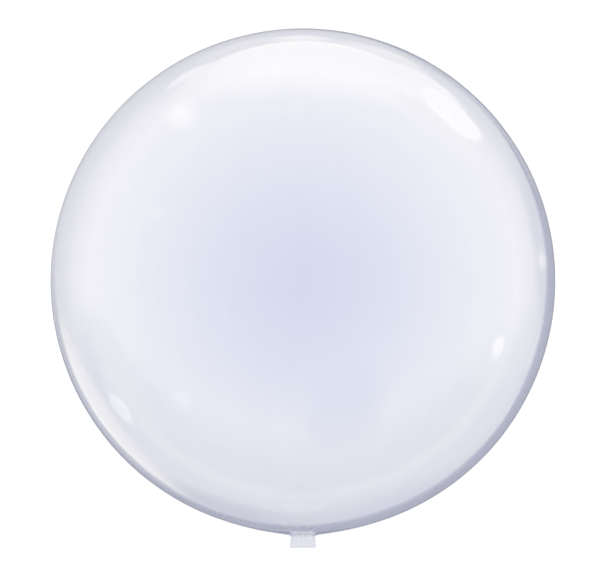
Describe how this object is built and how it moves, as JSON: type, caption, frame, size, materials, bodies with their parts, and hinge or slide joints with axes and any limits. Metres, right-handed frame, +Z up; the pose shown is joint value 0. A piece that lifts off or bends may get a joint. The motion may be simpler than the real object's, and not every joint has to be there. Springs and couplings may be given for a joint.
{
  "type": "clear bubble balloon",
  "caption": "Clear film balloon blown into a ball, with a gathered neck that ends in a flat welded tail, lying on a small flat spot.",
  "frame": {"origin": "middle of the small flat spot that the balloon lies on", "axes": "+Z up from the surface, the neck droops towards -Y, +X to the right seen from the neck's side"},
  "size_m": [0.56, 0.56, 0.5582],
  "materials": {
    "clear_film": "thin clear plastic film, glossy, faintly periwinkle"
  },
  "bodies": {
    "root": {"balloon": "clear_film"}
  },
  "joints": []
}
